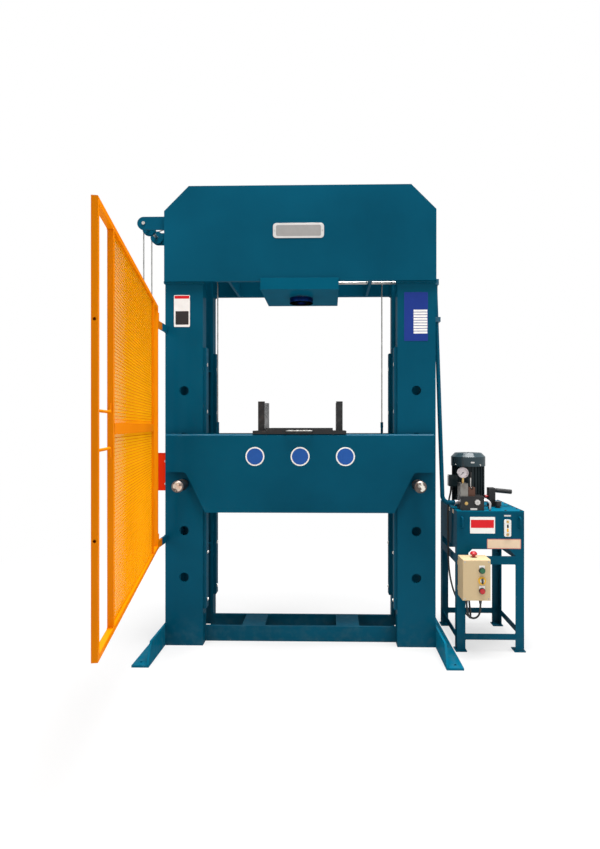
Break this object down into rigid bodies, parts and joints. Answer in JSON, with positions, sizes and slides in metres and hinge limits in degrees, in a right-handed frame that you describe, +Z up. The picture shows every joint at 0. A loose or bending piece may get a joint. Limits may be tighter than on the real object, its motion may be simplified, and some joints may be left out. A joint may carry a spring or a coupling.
{
  "type": "h-frame press",
  "caption": "Floor-standing hydraulic workshop press with a pinned, winch-lifted bed, swinging mesh guard and side power pack.",
  "frame": {"origin": "floor level, in the middle of the four floor bolt holes, under the ram", "axes": "+X to the power pack's side, seen from the front; +Y to the back; +Z up along the ram"},
  "size_m": [2.4768, 2.3866, 2.785],
  "materials": {
    "press_paint": "gloss",
    "guard_paint": "gloss",
    "winch_paint": "gloss",
    "motor_paint": "satin",
    "box_paint": "satin",
    "bright_steel": "turned",
    "valve_grey": "satin",
    "yellow_plastic": "gloss",
    "rope_steel": "stranded",
    "ram_chrome": "polished",
    "black_steel": "satin",
    "valve_black": "satin",
    "black_plastic": "satin",
    "white_plastic": "gloss",
    "green_plastic": "gloss",
    "red_plastic": "gloss",
    "lead_rubber": "matte"
  },
  "bodies": {
    "frame": {"base_frame": "press_paint", "control_box": "box_paint", "control_cover": "box_paint", "control_leads": "lead_rubber", "cylinder": "press_paint", "cylinder_mount_plate": "press_paint", "drop_ropes": "rope_steel", "feet": "press_paint", "filler_cap": "black_plastic", "front_uprights": "press_paint", "guide_strips": "press_paint", "hand_valve": "black_steel", "head_pipe": "bright_steel", "head_plates": "press_paint", "hinge_brackets": "press_paint", "hoist_ropes": "rope_steel", "level_gauge": "white_plastic", "locating_pins": "bright_steel", "manifold": "valve_black", "motor": "motor_paint", "motor_cowl": "motor_paint", "oil_tank": "press_paint", "pipe_fittings": "bright_steel", "pressure_gauge": "bright_steel", "pressure_pipe": "press_paint", "pulley_brackets": "press_paint", "rear_uprights": "press_paint", "sheave_shafts": "bright_steel", "stand": "press_paint", "tank_ears": "press_paint", "tank_lid": "press_paint", "upright_ribs": "press_paint", "valve_blocks": "valve_grey", "winch_frame": "winch_paint"},
    "ram": {"ram": "ram_chrome"},
    "bed": {"bed_plates": "press_paint", "bed_ribs": "press_paint", "rope_anchors": "bright_steel", "vee_blocks": "black_steel", "press_plate": "black_steel", "plate_handle": "bright_steel"},
    "guard": {"guard_outer_frame": "guard_paint", "guard_inner_frame": "guard_paint", "guard_mesh": "guard_paint"},
    "drum": {"winch_drum": "bright_steel"},
    "crank": {"winch_crank": "bright_steel"},
    "grip": {"crank_grip": "black_plastic"},
    "outer_wheels": {"outer_sheaves": "bright_steel"},
    "left_wheels": {"head_left_sheaves": "bright_steel"},
    "right_wheel": {"head_right_sheave": "bright_steel"},
    "rotor": {"motor_fan": "black_plastic"},
    "selector": {"valve_lever": "bright_steel"},
    "needle": {"gauge_needle": "black_plastic"},
    "dial": {"relief_dial": "bright_steel"},
    "pump_handle": {"hand_lever": "black_steel"},
    "start": {"green_button": "green_plastic"},
    "stop": {"red_button": "red_plastic"},
    "key": {"key_switch": "yellow_plastic"},
    "emergency": {"estop_button": "red_plastic"}
  },
  "joints": [
    {"name": "ram_slide", "type": "slide", "parent": "frame", "child": "ram", "axis": [0, 0, -1], "range_m": [0, 0.2]},
    {"name": "bed_slide", "type": "slide", "parent": "frame", "child": "bed", "axis": [0, 0, 1], "range_m": [-0.046, 0.545], "deforming": ["drop_ropes"]},
    {"name": "guard_hinge", "type": "hinge", "parent": "frame", "child": "guard", "pos_m": [-0.814, -0.372, 0.672], "axis": [0, 0, 1], "range_deg": [-95, 79]},
    {"name": "drum_turn", "type": "hinge", "parent": "frame", "child": "drum", "pos_m": [-0.9465, 0, 1.045], "axis": [0, 1, 0], "range_deg": [-712, 62]},
    {"name": "crank_turn", "type": "hinge", "parent": "frame", "child": "crank", "pos_m": [-1.04, 0.14, 1.045], "axis": [1, 0, 0], "range_deg": [-245, 2845]},
    {"name": "grip_spin", "type": "hinge", "parent": "crank", "child": "grip", "pos_m": [-1.09, 0.14, 0.865], "axis": [1, 0, 0], "continuous": true},
    {"name": "outer_wheels_turn", "type": "hinge", "parent": "frame", "child": "outer_wheels", "pos_m": [-0.9555, 0, 2.574], "axis": [0, 1, 0], "range_deg": [-895, 78]},
    {"name": "left_wheels_turn", "type": "hinge", "parent": "frame", "child": "left_wheels", "pos_m": [-0.557, 0, 2.72], "axis": [0, 1, 0], "range_deg": [-895, 78]},
    {"name": "right_wheel_turn", "type": "hinge", "parent": "frame", "child": "right_wheel", "pos_m": [0.487, 0.078, 2.72], "axis": [0, 1, 0], "range_deg": [-895, 78]},
    {"name": "motor_spin", "type": "hinge", "parent": "frame", "child": "rotor", "pos_m": [1.057, -0.02, 1.12], "axis": [0, 0, 1], "continuous": true},
    {"name": "selector_tilt", "type": "hinge", "parent": "frame", "child": "selector", "pos_m": [1.03, -0.185, 0.961], "axis": [1, 0, 0], "range_deg": [-20, 20], "stiffness_Nm_per_rad": 0.5},
    {"name": "needle_turn", "type": "hinge", "parent": "frame", "child": "needle", "pos_m": [0.9835, -0.199, 1.0535], "axis": [0, 1, 0], "range_deg": [0, 270], "stiffness_Nm_per_rad": 0.001},
    {"name": "relief_turn", "type": "hinge", "parent": "frame", "child": "dial", "pos_m": [1.056, -0.235, 0.883], "axis": [0, 1, 0], "range_deg": [0, 270]},
    {"name": "pump_stroke", "type": "hinge", "parent": "frame", "child": "pump_handle", "pos_m": [1.19, -0.06, 0.936], "axis": [0, 1, 0], "range_deg": [-30, 8]},
    {"name": "start_press", "type": "slide", "parent": "frame", "child": "start", "axis": [0, 1, 0], "range_m": [0, 0.004], "stiffness_N_per_m": 1000},
    {"name": "stop_press", "type": "slide", "parent": "frame", "child": "stop", "axis": [0, 1, 0], "range_m": [0, 0.004], "stiffness_N_per_m": 1000},
    {"name": "key_turn", "type": "hinge", "parent": "frame", "child": "key", "pos_m": [1.046, -0.375, 0.456], "axis": [0, 1, 0], "range_deg": [0, 90]},
    {"name": "emergency_press", "type": "slide", "parent": "frame", "child": "emergency", "axis": [0, 0, -1], "range_m": [0, 0.004], "stiffness_N_per_m": 3000}
  ],
  "couplings": [
    {"joint": "drum_turn", "follows": "bed_slide", "rad_per_m": -22.727},
    {"joint": "crank_turn", "follows": "bed_slide", "rad_per_m": 90.909},
    {"joint": "outer_wheels_turn", "follows": "bed_slide", "rad_per_m": -28.571},
    {"joint": "left_wheels_turn", "follows": "bed_slide", "rad_per_m": -28.571},
    {"joint": "right_wheel_turn", "follows": "bed_slide", "rad_per_m": -28.571}
  ]
}
